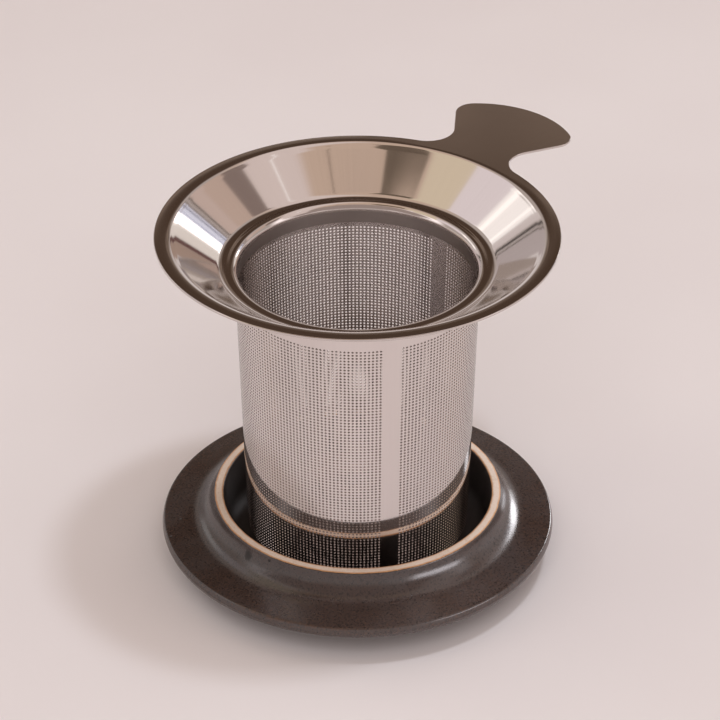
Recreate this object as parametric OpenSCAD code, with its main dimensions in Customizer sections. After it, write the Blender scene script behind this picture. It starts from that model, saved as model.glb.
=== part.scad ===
// Tea infuser standing in its upturned stoneware lid.
// Millimetres. The origin is on the common axis at the table, +Z is up and +X runs along the tab.

/* [Stoneware lid] */
// Height of the upturned lid, from the table to the bare clay ring
lid_h = 17; // [14:0.5:24]
// Thickness of the lid under the well
lid_floor_t = 5; // [4:0.5:7]
// Outside radius of the flange
flange_r = 49.3; // [46:0.1:56]
// Height of the flange's edge band
flange_t = 2.8; // [2.2:0.1:4]
// Outside radius of the bare clay ring
clay_r = 36; // [35:0.1:38]
// Width of the bare clay ring
clay_w = 2.4; // [1.6:0.1:3]
// Drop from the clay ring to the foot of the cove
collar_rise = 5.8; // [5:0.1:7]
// Radius of the cove between the collar and the flange
cove_r = 6.2; // [4:0.1:6.6]
// Fall of the flange's upper face from the cove to the edge
flange_fall = 1.1; // [0.4:0.1:2]
// Radius that the well loses between the clay ring and its floor
well_draft = 1.2; // [0.4:0.1:1.6]
// Radius of the fillet round the well's floor
well_fillet = 3; // [1:0.1:3]
// Radius of the base that the upturned lid stands on
base_r = 34.6; // [32:0.1:36]

/* [Funnel] */
// Outside radius of the flat rim
rim_r = 48.4; // [46:0.1:54]
// Width of the flat rim
rim_w = 3.5; // [2.5:0.1:5]
// Thickness of the pressed sheet
sheet_t = 0.6; // [0.4:0.05:0.8]
// Depth of the cone, from the rim down to the ledge
cone_drop = 9; // [7:0.1:12]
// Radius at which the cone meets the ledge
ledge_r = 32.6; // [32:0.1:36]
// Inside radius of the mouth of the neck
mouth_r = 28.5; // [26:0.1:29]
// Height of the neck under the ledge
neck_h = 4.8; // [4:0.1:8]
// Radius of the bend between the rim and the cone, on the sheet's upper face
bend_r = 1.3; // [0.9:0.1:1.5]
// Radius of the bend between the cone and the ledge, on the sheet's upper face
foot_bend_r = 2.8; // [1:0.1:3.2]
// Radius of the bend between the ledge and the neck, on the sheet's upper face
mouth_bend_r = 2; // [1:0.1:2.4]

/* [Tab] */
// Length of the tab beyond the rim
tab_len = 27.4; // [25:0.1:36]
// Width of the tab's neck
tab_neck_w = 19.4; // [15:0.1:22]
// Radius of the fillets between the rim and the grip
tab_fillet = 6.8; // [6:0.1:7.4]
// Radius of the grip's far edge
grip_r = 24; // [20:0.1:28]
// Radius of the grip's two corners
grip_corner = 5; // [3.5:0.1:6]
// Overall width of the grip
grip_w = 33; // [30:0.1:36]

/* [Basket] */
// Height of the infuser, from the foot of the basket to the rim
infuser_h = 86.15; // [78:0.05:100]
// Thickness of the basket wall
wall_t = 0.25; // [0.2:0.05:0.6]
// Slope of the basket wall towards its foot, in degrees
taper = 1.41; // [0:0.01:2]
// Gap between the bend of the neck and the top of the wall
wall_top_gap = 0.4; // [0.2:0.1:1]
// Thickness of the basket floor
floor_t = 0.5; // [0.3:0.05:0.8]
// Height of the lip that is welded inside the wall
floor_lip = 3; // [2:0.1:5]
// Radius of the bend round the floor, on its lower face
floor_bend = 1; // [0.8:0.1:1.5]

/* [Fits] */
// Clearance between sheets that are spot-welded together
weld_gap = 0.02; // [0.01:0.01:0.05]
// Clearance between the basket's foot and the floor of the well
seat_gap = 0.05; // [0.02:0.01:0.2]

/* [Hidden] */
$fn = 180;

arc_step = 10;      // degrees between the points of a rounded corner
edge_round = 0.5;   // rounding of the clay ring's edges and of the flange's upper edge
band_bulge = 0.4;   // how far the flange's edge stands out at mid height
bulge_round = 0.8;  // rounding of the flange's edge at mid height
flank_run = 1;      // how far the collar spreads before it meets the cove
under_slope = 1.7;  // rise of the flange's underside from the bowl to the edge
bowl_flare = 3.6;   // how far the bowl's side spreads before it meets the flange
under_cove = 4;     // radius between the bowl and the flange's underside
base_round = 2.5;   // radius round the base
tab_lap = 1.5;      // how far the tab's plate reaches over the flat rim

seat_z = lid_floor_t + seat_gap;
rim_z = seat_z + infuser_h;
well_r = clay_r - clay_w;
cove_z = lid_h - collar_rise;
edge_z = cove_z - flange_fall;
under_z = edge_z - flange_t;
band_round = 0.42 * flange_t;

// The wall is set by the neck that it is welded to, then narrows towards its foot.
neck_out_r = mouth_r + sheet_t;
neck_foot_z = rim_z - cone_drop - neck_h;
wall_top_z = rim_z - cone_drop - mouth_bend_r - wall_top_gap;
function wall_in_r(z) = neck_out_r + weld_gap + (z - neck_foot_z) * tan(taper);

function unit(v) = v / norm(v);
function side(v) = [-v[1], v[0]];
function crossed(u, v) = u[0] * v[1] - u[1] * v[0];

// Points of one corner b, between a and c, rounded to radius r.
function corner(a, b, c, r) =
    r <= 0 ? [b] :
    let (
        u = unit(a - b),
        v = unit(c - b),
        half = acos(u * v) / 2,
        start = b + u * r / tan(half),
        centre = b + unit(u + v) * r / sin(half),
        turn = sign(crossed(-u, v)) * (180 - 2 * half),
        steps = max(2, ceil(abs(turn) / arc_step)),
        arm = start - centre
    )
    [for (i = [0:steps])
        let (t = turn * i / steps)
        centre + [arm[0] * cos(t) - arm[1] * sin(t), arm[0] * sin(t) + arm[1] * cos(t)]];

// An outline or a path with a radius for each corner; the ends of a path stay sharp.
function rounded(points, radii, closed = true) =
    let (n = len(points))
    [for (i = [0:n - 1])
        each !closed && (i == 0 || i == n - 1)
            ? [points[i]]
            : corner(points[(i + n - 1) % n], points[i], points[(i + 1) % n], radii[i])];

// The path moved sideways by d, to its left where d is positive.
function shifted(path, d) =
    let (n = len(path))
    [for (i = [0:n - 1])
        let (
            before = i == 0 ? unit(path[1] - path[0]) : unit(path[i] - path[i - 1]),
            after = i == n - 1 ? before : unit(path[i + 1] - path[i]),
            m = unit(side(before) + side(after))
        )
        path[i] + m * d / (m * side(after))];

// Corner radii of a path moved to its left by d: left-hand corners tighten, right-hand ones open.
function shifted_radii(path, radii, d) =
    let (n = len(path))
    [for (i = [0:n - 1])
        i == 0 || i == n - 1 ? 0 :
        let (turn = crossed(path[i] - path[i - 1], path[i + 1] - path[i]))
        max(0.05, radii[i] - sign(turn) * d)];

function reversed(list) = [for (i = [len(list) - 1:-1:0]) list[i]];

// Section of a bent sheet: a path on one face and the same path a thickness to its left.
function sheet_section(path, radii, t) = concat(
    rounded(path, radii, false),
    reversed(rounded(shifted(path, t), shifted_radii(path, radii, t), false)));

// Stoneware lid, thrown in one piece: well, bare clay ring, cove, flange and flat base.
module lid() {
    outline = [
        [0, lid_floor_t],
        [well_r - well_draft, lid_floor_t],
        [well_r, lid_h],
        [clay_r, lid_h],
        [clay_r + flank_run, cove_z],
        [flange_r - band_bulge, edge_z],
        [flange_r, (edge_z + under_z) / 2],
        [flange_r - band_bulge, under_z],
        [base_r + bowl_flare, under_z - under_slope],
        [base_r, 0],
        [0, 0]
    ];
    radii = [0, well_fillet, edge_round, edge_round, cove_r, edge_round, bulge_round,
             band_round, under_cove, base_round, 0];
    color([0.24, 0.21, 0.20]) rotate_extrude() polygon(rounded(outline, radii));
}

// Outline of the tab, seen from above: a neck that spreads into a fan-shaped grip.
module tab_plate() {
    far_x = rim_r + tab_len;
    arc_x = far_x - grip_r;
    corner_y = grip_w / 2 - grip_corner;
    corner_x = arc_x + sqrt(pow(grip_r - grip_corner, 2) - pow(corner_y, 2));
    fillet_y = tab_neck_w / 2 + tab_fillet;
    fillet_x = sqrt(pow(rim_r + tab_fillet, 2) - pow(fillet_y, 2));
    // The straight flank of the grip leaves its corner and meets the fillet.
    span = [fillet_x - corner_x, fillet_y - corner_y];
    lean = atan2(span[1], span[0]) - acos((grip_corner + tab_fillet) / norm(span));
    toward = [cos(lean), sin(lean)];
    leave = [corner_x, corner_y] + toward * grip_corner;
    meet = [fillet_x, fillet_y] - toward * tab_fillet;
    beyond = 2 * [corner_x - arc_x, corner_y];
    flank = [[corner_x, corner_y], leave, meet, [fillet_x, fillet_y]];
    difference() {
        union() {
            intersection() {
                translate([arc_x, 0]) circle(grip_r);
                polygon([[arc_x, 0], [arc_x + beyond[0], -beyond[1]], [arc_x, 0] + beyond]);
            }
            for (s = [-1, 1]) translate([corner_x, s * corner_y]) circle(grip_corner);
            polygon(concat(flank, [[0, 0]], [for (p = reversed(flank)) [p[0], -p[1]]]));
        }
        for (s = [-1, 1]) translate([fillet_x, s * fillet_y]) circle(tab_fillet);
        circle(rim_r - rim_w + tab_lap);
    }
}

// Funnel with its tab, pressed from one sheet: flat rim, cone, ledge and the neck under it.
module funnel() {
    ledge_z = rim_z - cone_drop;
    face = [
        [rim_r, rim_z],
        [rim_r - rim_w, rim_z],
        [ledge_r, ledge_z],
        [mouth_r, ledge_z],
        [mouth_r, neck_foot_z]
    ];
    radii = [0, bend_r, foot_bend_r, mouth_bend_r, 0];
    color([0.72, 0.70, 0.68]) {
        rotate_extrude() polygon(sheet_section(face, radii, sheet_t));
        translate([0, 0, rim_z - sheet_t]) linear_extrude(sheet_t) tab_plate();
    }
}

// Basket wall, one sheet rolled and seam-welded. Its fine perforation is left to the finish.
module basket_wall() {
    color([0.80, 0.77, 0.76]) rotate_extrude()
        polygon([
            [wall_in_r(seat_z), seat_z],
            [wall_in_r(seat_z) + wall_t, seat_z],
            [wall_in_r(wall_top_z) + wall_t, wall_top_z],
            [wall_in_r(wall_top_z), wall_top_z]
        ]);
}

// Basket floor, a shallow cup welded inside the foot of the wall.
module basket_floor() {
    lip_r = wall_in_r(seat_z) - weld_gap;
    face = [
        [0, seat_z],
        [lip_r, seat_z],
        [lip_r, seat_z + floor_lip]
    ];
    color([0.70, 0.68, 0.67]) rotate_extrude()
        polygon(sheet_section(face, [0, floor_bend, 0], floor_t));
}

lid();
funnel();
basket_wall();
basket_floor();
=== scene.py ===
"""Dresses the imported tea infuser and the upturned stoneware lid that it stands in, and sets up a studio.

Lengths are in metres, MM is one millimetre, and an angle whose name ends in _deg is in degrees. The
common axis of lid and infuser is the Z axis, the table is at z = 0 and the thumb tab points along +X.
"""

import logging
import math
from collections.abc import Callable, Sequence
from dataclasses import dataclass
from enum import Enum

import bpy
import numpy as np
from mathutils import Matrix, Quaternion, Vector
from mathutils.geometry import tessellate_polygon


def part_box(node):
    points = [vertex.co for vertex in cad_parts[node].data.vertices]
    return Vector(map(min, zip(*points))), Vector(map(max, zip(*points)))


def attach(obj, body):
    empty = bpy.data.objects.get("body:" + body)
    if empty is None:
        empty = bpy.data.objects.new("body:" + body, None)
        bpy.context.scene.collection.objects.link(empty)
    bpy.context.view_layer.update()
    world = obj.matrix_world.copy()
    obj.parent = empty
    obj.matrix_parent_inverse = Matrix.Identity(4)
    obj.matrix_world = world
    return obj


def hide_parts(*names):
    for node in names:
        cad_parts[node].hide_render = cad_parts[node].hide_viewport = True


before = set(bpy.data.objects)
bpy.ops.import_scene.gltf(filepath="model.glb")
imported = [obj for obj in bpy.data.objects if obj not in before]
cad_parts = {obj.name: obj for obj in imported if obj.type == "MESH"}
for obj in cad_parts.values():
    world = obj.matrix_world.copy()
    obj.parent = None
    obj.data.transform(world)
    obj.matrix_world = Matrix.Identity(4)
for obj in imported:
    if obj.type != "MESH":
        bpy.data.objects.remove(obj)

MM = 0.001
FULL_TURN = 2 * math.pi
LOG = logging.getLogger("infuser")
SMALLEST_ROUNDING = 0.05 * MM
SAME_POINT = 0.001 * MM

Colour = tuple[float, float, float]
Socket = bpy.types.NodeSocket
Value = float | int | str | Colour | Socket


class Body(Enum):
    """The two bodies of the frame that pieces ride on."""

    LID = "lid"
    INFUSER = "infuser"


class Slot(Enum):
    """The record's material slots."""

    DARK_GLAZE = "dark_glaze"
    POLISHED_STEEL = "polished_steel"
    PERFORATED_STEEL = "perforated_steel"


class Grain(Enum):
    """The way the fine marks of the polishing wheel run on a piece of steel."""

    RADIAL = "radial"
    AROUND = "around"
    UPRIGHT = "upright"


class Kind(Enum):
    """The kinds of input that the geometry trees take."""

    MEASURE = "NodeSocketFloat"
    COUNT = "NodeSocketInt"
    FINISH = "NodeSocketMaterial"
    SHAPE = "NodeSocketGeometry"


# ---------------------------------------------------------------------------------------------- node graphs


class Graph:
    """Adds nodes to a node tree, with plain values or other nodes' sockets as their inputs."""

    def __init__(self, tree: bpy.types.NodeTree) -> None:
        """Takes the tree that the nodes are added to.

        Args:
            tree: a material's, the world's or a geometry tree.
        """
        self.tree = tree

    def add(self, kind: str, inputs: dict[str | int, Value] | None = None,
            **settings: object) -> bpy.types.Node:
        """Adds one node.

        Args:
            kind: the node's type name.
            inputs: values or sockets by input name or number.
            settings: the node's own properties.

        Returns:
            The new node.
        """
        node = self.tree.nodes.new(kind)
        for name, value in settings.items():
            setattr(node, name, value)
        self.fill(node, inputs or {})
        return node

    def fill(self, node: bpy.types.Node, inputs: dict[str | int, Value]) -> None:
        """Gives a node's inputs plain values, or links sockets to them.

        Args:
            node: the node.
            inputs: values or sockets by input name or number.
        """
        for key, value in inputs.items():
            if isinstance(value, bpy.types.NodeSocket):
                self.tree.links.new(value, node.inputs[key])
            else:
                node.inputs[key].default_value = value

    def math(self, operation: str, a: Value, b: Value = 0.0, c: Value = 0.0) -> Socket:
        """The result of a Math node on up to three values."""
        return self.add("ShaderNodeMath", {0: a, 1: b, 2: c}, operation=operation).outputs[0]

    def total(self, *values: Value) -> Socket:
        """The sum of several values.

        Args:
            values: two or more numbers or sockets.

        Returns:
            Their sum.
        """
        result = values[0]
        for value in values[1:]:
            result = self.math("ADD", result, value)
        return result

    def product(self, *values: Value) -> Socket:
        """The product of several values.

        Args:
            values: two or more numbers or sockets.

        Returns:
            Their product.
        """
        result = values[0]
        for value in values[1:]:
            result = self.math("MULTIPLY", result, value)
        return result

    def ramp(self, value: Value, low: Value, high: Value,
             to_low: float = 0.0, to_high: float = 1.0) -> Socket:
        """A smooth step.

        Args:
            value: what is read.
            low: where the step begins.
            high: where it ends.
            to_low: what is given below low.
            to_high: what is given above high.

        Returns:
            The step.
        """
        inputs = {"Value": value, "From Min": low, "From Max": high,
                  "To Min": to_low, "To Max": to_high}
        return self.add("ShaderNodeMapRange", inputs, interpolation_type="SMOOTHSTEP").outputs[0]

    def mix(self, factor: Value, a: Value, b: Value) -> Socket:
        """Colour a turned into colour b by factor."""
        inputs = {0: factor, 6: opaque(a), 7: opaque(b)}
        return self.add("ShaderNodeMix", inputs, data_type="RGBA").outputs[2]

    def combine(self, x: Value = 0.0, y: Value = 0.0, z: Value = 0.0) -> Socket:
        """A vector of three values."""
        return self.add("ShaderNodeCombineXYZ", {0: x, 1: y, 2: z}).outputs[0]

    def separate(self, vector: Socket) -> tuple[Socket, Socket, Socket]:
        """The three parts of a vector."""
        return tuple(self.add("ShaderNodeSeparateXYZ", {0: vector}).outputs)

    def off_axis(self, x: Value, y: Value) -> Socket:
        """The distance of a place from the Z axis."""
        return self.math("SQRT", self.total(self.product(x, x), self.product(y, y)))

    def dot(self, a: Value, b: Value) -> Socket:
        """The dot product of two vectors."""
        return self.add("ShaderNodeVectorMath", {0: a, 1: b}, operation="DOT_PRODUCT").outputs["Value"]

    def noise(self, vector: Value, size: float, detail: float = 2.0, rough: float = 0.5,
              bend: float = 0.0) -> Socket:
        """Soft noise from 0 to 1 whose features are about the given size in metres.

        Args:
            vector: the coordinates that the noise reads.
            size: the size of its features.
            detail: how many finer layers are added.
            rough: how strong the finer layers are.
            bend: how far the pattern is distorted.

        Returns:
            The noise's value.
        """
        inputs = {"Vector": vector, "Scale": 1.0 / size, "Detail": detail, "Roughness": rough,
                  "Distortion": bend}
        return self.add("ShaderNodeTexNoise", inputs, noise_dimensions="3D").outputs["Fac"]


class Finish(Graph):
    """The graph of a new material."""

    def __init__(self, name: str) -> None:
        """Makes the material and reads the place on the object that it covers.

        Args:
            name: the material's name.
        """
        self.material = bpy.data.materials.new(name)
        self.material.use_nodes = True
        super().__init__(self.material.node_tree)
        self.place = self.add("ShaderNodeTexCoord").outputs["Object"]

    def bump(self, height: Socket) -> Socket:
        """The normal of a surface that stands out by a height in metres."""
        return self.add("ShaderNodeBump", {"Height": height, "Distance": 1.0, "Strength": 1.0}).outputs[0]

    def done(self, inputs: dict[str, Value]) -> bpy.types.Material:
        """The material, once its shader has these inputs."""
        self.fill(self.tree.nodes["Principled BSDF"], inputs)
        return self.material


class GeometryGraph(Graph):
    """A Geometry Nodes tree with named inputs, which ends in Realize Instances and Set Material."""

    def __init__(self, name: str, counts: Sequence[str], measures: Sequence[str]) -> None:
        """Makes the tree and its inputs. A shape named Form and a material named Finish are added to them.

        Args:
            name: the tree's name.
            counts: the names of the inputs that are whole numbers.
            measures: the names of the inputs that are lengths, angles or slopes.
        """
        super().__init__(bpy.data.node_groups.new(name, "GeometryNodeTree"))
        kinds = {"Form": Kind.SHAPE, **dict.fromkeys(counts, Kind.COUNT),
                 **dict.fromkeys(measures, Kind.MEASURE), "Finish": Kind.FINISH}
        for label, kind in kinds.items():
            self.tree.interface.new_socket(label, in_out="INPUT", socket_type=kind.value)
        self.tree.interface.new_socket("Form", in_out="OUTPUT", socket_type=Kind.SHAPE.value)
        self.inputs = self.tree.nodes.new("NodeGroupInput").outputs

    def place(self, shape: Socket, position: Socket) -> Socket:
        """The shape with its points moved to new positions."""
        return self.add("GeometryNodeSetPosition", {"Geometry": shape, "Position": position}).outputs[0]

    def position(self) -> Socket:
        """Each point's own position."""
        return self.add("GeometryNodeInputPosition").outputs[0]

    def join(self, *shapes: Socket) -> Socket:
        """Several shapes as one.

        Args:
            shapes: the shapes, in order.

        Returns:
            All of them together.
        """
        node = self.tree.nodes.new("GeometryNodeJoinGeometry")
        for shape in shapes:
            self.tree.links.new(shape, node.inputs[0])
        return node.outputs[0]

    def welded(self, shape: Socket, gap: float) -> Socket:
        """The shape with points closer than gap merged."""
        return self.add("GeometryNodeMergeByDistance", {"Geometry": shape, "Distance": gap}).outputs[0]

    def grid(self, size_x: Value, size_y: Value, points_x: Value, points_y: Value) -> Socket:
        """A flat grid round the origin."""
        inputs = {"Size X": size_x, "Size Y": size_y, "Vertices X": points_x, "Vertices Y": points_y}
        return self.add("GeometryNodeMeshGrid", inputs).outputs["Mesh"]

    def repeated(self, shape: Socket, points: Socket) -> Socket:
        """A real copy of the shape on each point."""
        copies = self.add("GeometryNodeInstanceOnPoints", {"Points": points, "Instance": shape})
        return self.add("GeometryNodeRealizeInstances", {"Geometry": copies.outputs[0]}).outputs[0]

    def thickened(self, sheet: Socket, thickness: Socket, gap: float) -> Socket:
        """A flat sheet that faces +Z given a thickness, with a wall round every hole and every edge.

        Args:
            sheet: the sheet at z = 0.
            thickness: how far its upper face is raised.
            gap: the distance within which points are merged.

        Returns:
            The closed solid.
        """
        inputs = {"Mesh": sheet, "Offset": self.combine(z=1.0), "Offset Scale": thickness,
                  "Individual": False}
        raised = self.add("GeometryNodeExtrudeMesh", inputs, mode="FACES").outputs["Mesh"]
        under = self.add("GeometryNodeFlipFaces", {"Mesh": sheet}).outputs[0]
        return self.welded(self.join(raised, under), gap)

    def circle(self, points: Value, radius: Value) -> Socket:
        """A circle round the origin."""
        inputs = {"Resolution": points, "Radius": radius}
        return self.add("GeometryNodeCurvePrimitiveCircle", inputs, mode="RADIUS").outputs[0]

    def filled(self, *outlines: Socket) -> Socket:
        """The flat area within outlines, with holes where they lie inside each other."""
        inputs = {"Curve": self.join(*outlines)}
        return self.add("GeometryNodeFillCurve", inputs, mode="TRIANGLES").outputs[0]

    def cell(self, width: Value, height: Value, diameter: Socket, sides: int) -> Socket:
        """A flat rectangle with one punched hole in its middle.

        Args:
            width: its size along X.
            height: its size along Y.
            diameter: the hole's diameter.
            sides: how many straight sides the hole has.

        Returns:
            The cell.
        """
        square = self.add("GeometryNodeCurvePrimitiveQuadrilateral", {"Width": width, "Height": height},
                          mode="RECTANGLE").outputs[0]
        return self.filled(square, self.circle(sides, self.product(diameter, 0.5)))

    def without_faces(self, shape: Socket, chosen: Socket) -> Socket:
        """The shape with the chosen faces taken out."""
        return self.add("GeometryNodeDeleteGeometry", {"Geometry": shape, "Selection": chosen},
                        domain="FACE", mode="ALL").outputs[0]

    def finish(self, shape: Socket) -> bpy.types.NodeTree:
        """Ends the tree with the realized shape in its finish.

        Args:
            shape: the whole shape.

        Returns:
            The tree.
        """
        real = self.add("GeometryNodeRealizeInstances", {"Geometry": shape}).outputs[0]
        inputs = {"Geometry": real, "Material": self.inputs["Finish"]}
        done = self.add("GeometryNodeSetMaterial", inputs).outputs[0]
        self.add("NodeGroupOutput", {0: done})
        return self.tree


def placed(name: str, data: bpy.types.ID) -> bpy.types.Object:
    """A new object in the scene.

    Args:
        name: its name.
        data: its mesh, lamp or camera.

    Returns:
        The object.
    """
    obj = bpy.data.objects.new(name, data)
    bpy.context.scene.collection.objects.link(obj)
    return obj


def opaque(colour: Value) -> Value:
    """A plain colour with its alpha added; a socket is given back as it is."""
    return (*colour, 1.0) if isinstance(colour, tuple) else colour


def grown(name: str, tree: bpy.types.NodeTree, values: dict[str, object],
          start: bpy.types.Mesh | None = None) -> bpy.types.Mesh:
    """Runs a geometry tree once and keeps its result as a plain mesh.

    Args:
        name: the new mesh's name.
        tree: the geometry tree.
        values: the tree's inputs by name.
        start: the mesh that the tree starts from, if it reads one.

    Returns:
        The finished mesh, with no modifier behind it.
    """
    carrier = placed(name, start or bpy.data.meshes.new(name + "_start"))
    modifier = carrier.modifiers.new("form", "NODES")
    modifier.node_group = tree
    for item in tree.interface.items_tree:
        if item.item_type == "SOCKET" and item.in_out == "INPUT" and item.name in values:
            modifier[item.identifier] = values[item.name]
    graph = bpy.context.evaluated_depsgraph_get()
    mesh = bpy.data.meshes.new_from_object(carrier.evaluated_get(graph), depsgraph=graph,
                                           preserve_all_data_layers=True)
    mesh.name = name
    carrier.modifiers.clear()
    bpy.data.objects.remove(carrier)
    return mesh


# ---------------------------------------------------------------------------------------------- sections


@dataclass(frozen=True)
class Corner:
    """A corner of a section: its distance from the axis, its height and the radius it is rounded to."""

    r: float
    z: float
    rounding: float = 0.0


@dataclass
class Section:
    """Points of a section and their normals, which point to the right of its course."""

    points: np.ndarray
    normals: np.ndarray

    @staticmethod
    def of(corners: Sequence[Corner], step_deg: float = 9.0, stride: float | None = None) -> "Section":
        """Rounds an open row of corners.

        Args:
            corners: the corners in order; the first and the last stay sharp.
            step_deg: the angle between the points of an arc.
            stride: the longest distance between points on straight stretches.

        Returns:
            The section.
        """
        places = [np.array((c.r, c.z)) for c in corners]
        points: list[np.ndarray] = []
        normals: list[np.ndarray] = []
        for i, place in enumerate(places):
            if i in (0, len(places) - 1) or corners[i].rounding <= 0:
                a, b = (places[i - 1], place) if i else (place, places[1])
                points.append(place)
                normals.append(right_of(b - a))
                continue
            back = unit(places[i - 1] - place)
            on = unit(places[i + 1] - place)
            half = math.acos(float(np.clip(back @ on, -1, 1))) / 2
            radius = corners[i].rounding
            centre = place + unit(back + on) * radius / math.sin(half)
            arm = place + back * radius / math.tan(half) - centre
            left = np.sign(-back[0] * on[1] + back[1] * on[0])
            turn = left * (math.pi - 2 * half)
            steps = max(2, math.ceil(abs(math.degrees(turn)) / step_deg))
            for angle in np.linspace(0, turn, steps + 1):
                spoke = turned(arm, angle)
                points.append(centre + spoke)
                normals.append(left * spoke / radius)
        section = Section(np.array(points), np.array(normals))
        return section.spaced(stride) if stride else section

    def spaced(self, stride: float) -> "Section":
        """Adds points where two lie far apart.

        Args:
            stride: the longest distance between points.

        Returns:
            The finer section.
        """
        points = [self.points[0]]
        normals = [self.normals[0]]
        for i in range(1, len(self.points)):
            parts = max(1, math.ceil(np.linalg.norm(self.points[i] - self.points[i - 1]) / stride))
            for k in range(1, parts + 1):
                share = k / parts
                points.append(self.points[i - 1] * (1 - share) + self.points[i] * share)
                normals.append(unit(self.normals[i - 1] * (1 - share) + self.normals[i] * share))
        return Section(np.array(points), np.array(normals))

    def mesh(self, name: str) -> bpy.types.Mesh:
        """The section as a row of edges in the XZ plane.

        Args:
            name: the mesh's name.

        Returns:
            The mesh.
        """
        mesh = bpy.data.meshes.new(name)
        edges = [(i, i + 1) for i in range(len(self.points) - 1)]
        mesh.from_pydata([(r, 0.0, z) for r, z in self.points], edges, [])
        return mesh


def unit(vector: np.ndarray) -> np.ndarray:
    """The vector at length 1."""
    return vector / np.linalg.norm(vector)


def right_of(direction: np.ndarray) -> np.ndarray:
    """The unit vector to the right of a direction."""
    return unit(np.array((direction[1], -direction[0])))


def turned(vector: np.ndarray, angle: float) -> np.ndarray:
    """A flat vector turned by an angle in radians.

    Args:
        vector: its two parts.
        angle: how far it turns, counterclockwise.

    Returns:
        The turned vector.
    """
    c = math.cos(angle)
    s = math.sin(angle)
    return np.array((vector[0] * c - vector[1] * s, vector[0] * s + vector[1] * c))


def shifted(corners: Sequence[Corner], distance: float) -> list[Corner]:
    """Moves a row of corners sideways, as the other face of a sheet.

    Args:
        corners: the corners of one face.
        distance: how far to the left of their course they move.

    Returns:
        The moved corners, with roundings that keep the sheet's thickness in its bends.
    """
    places = [np.array((c.r, c.z)) for c in corners]
    moved = []
    for i, place in enumerate(places):
        before = unit(places[max(i, 1)] - places[max(i, 1) - 1])
        after = unit(places[min(i + 1, len(places) - 1)] - places[min(i + 1, len(places) - 1) - 1])
        way = unit(-right_of(before) - right_of(after))
        place = place + way * distance / float(way @ -right_of(after))
        turn = before[0] * after[1] - before[1] * after[0]
        rounding = corners[i].rounding
        if rounding:
            rounding = max(SMALLEST_ROUNDING, rounding - np.sign(turn) * distance)
        moved.append(Corner(place[0], place[1], rounding))
    return moved


def turned_form_tree() -> bpy.types.NodeTree:
    """The tree that turns a section round the axis, as on a potter's wheel or a spinning lathe.

    Returns:
        The tree. It starts from the section's edges and takes the number of segments, how far the form
        is out of true, the size of that unevenness and a seed for it.
    """
    g = GeometryGraph("turned_form", ["Segments", "Seed"], ["Unevenness", "Unevenness Size"])
    section = g.inputs["Form"]
    count = g.add("GeometryNodeAttributeDomainSize", {"Geometry": section},
                  component="MESH").outputs["Point Count"]
    sheet = g.grid(1.0, 1.0, g.math("ADD", g.inputs["Segments"], 1.0), count)
    u, v, _ = g.separate(g.position())
    row = g.product(g.math("ADD", v, 0.5), g.math("SUBTRACT", count, 1.0))
    sample = g.add("GeometryNodeSampleIndex", {"Geometry": section, "Index": g.math("ROUND", row)},
                   data_type="FLOAT_VECTOR", domain="POINT")
    g.fill(sample, {"Value": g.position()})
    r, _, z = g.separate(sample.outputs[0])
    angle = g.product(g.math("ADD", u, 0.5), FULL_TURN)
    c = g.math("COSINE", angle)
    s = g.math("SINE", angle)
    where = g.combine(g.product(r, c), g.product(r, s), z)
    inputs = {"Vector": where, "W": g.inputs["Seed"], "Detail": 1.0,
              "Scale": g.math("DIVIDE", 1.0, g.inputs["Unevenness Size"])}
    noise = g.add("ShaderNodeTexNoise", inputs, noise_dimensions="4D")
    n_r, n_z, _ = g.separate(noise.outputs["Color"])
    shrink_r = g.math("SUBTRACT", 1.0, g.product(n_r, g.inputs["Unevenness"]))
    shrink_z = g.math("SUBTRACT", 1.0, g.product(n_z, g.inputs["Unevenness"]))
    uneven = g.combine(g.product(r, c, shrink_r), g.product(r, s, shrink_r), g.product(z, shrink_z))
    return g.finish(g.welded(g.place(sheet, uneven), SAME_POINT))


# ---------------------------------------------------------------------------------------------- pieces


def piece(mesh: bpy.types.Mesh, body: Body, replaced: Sequence[str] = ()) -> bpy.types.Object:
    """Makes a mesh a piece of the object.

    Args:
        mesh: the finished mesh, in place.
        body: the body that it rides on.
        replaced: the nodes that it stands for.

    Returns:
        The piece.
    """
    obj = placed(mesh.name, mesh)
    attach(obj, body.value)
    if replaced:
        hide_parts(*replaced)
    triangles = sum(len(p.vertices) - 2 for p in mesh.polygons)
    LOG.info("%s: %d triangles, on body %s", obj.name, triangles, body.value)
    return obj


def shade(mesh: bpy.types.Mesh, skin: Callable[[np.ndarray], np.ndarray]) -> None:
    """Gives a sheet the exact normals of the surface that it was bent to, and leaves its cut edges flat.

    Args:
        mesh: the mesh.
        skin: gives the surface's normals at an array of points.
    """
    # A face that agrees less than this with the surface's normals is a cut edge.
    least_agreement = 0.7
    smooth(mesh)
    points = read(mesh.vertices, "co", 3)
    flat = read(mesh.polygons, "normal", 3)
    middle = read(mesh.polygons, "center", 3)
    sizes = read(mesh.polygons, "loop_total", 1).astype(int).ravel()
    owner = np.repeat(np.arange(len(sizes)), sizes)
    corner = read(mesh.loops, "vertex_index", 1).astype(int).ravel()
    facing = np.einsum("ij,ij->i", flat, skin(middle))
    side = np.where(facing > 0, 1.0, -1.0)[owner][:, None]
    bent = (np.abs(facing) > least_agreement)[owner][:, None]
    normals = np.where(bent, side * skin(points)[corner], flat[owner])
    mesh.normals_split_custom_set(normals.tolist())


def smooth(mesh: bpy.types.Mesh) -> None:
    """Shades a mesh smoothly."""
    mesh.polygons.foreach_set("use_smooth", np.ones(len(mesh.polygons), bool))


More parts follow.
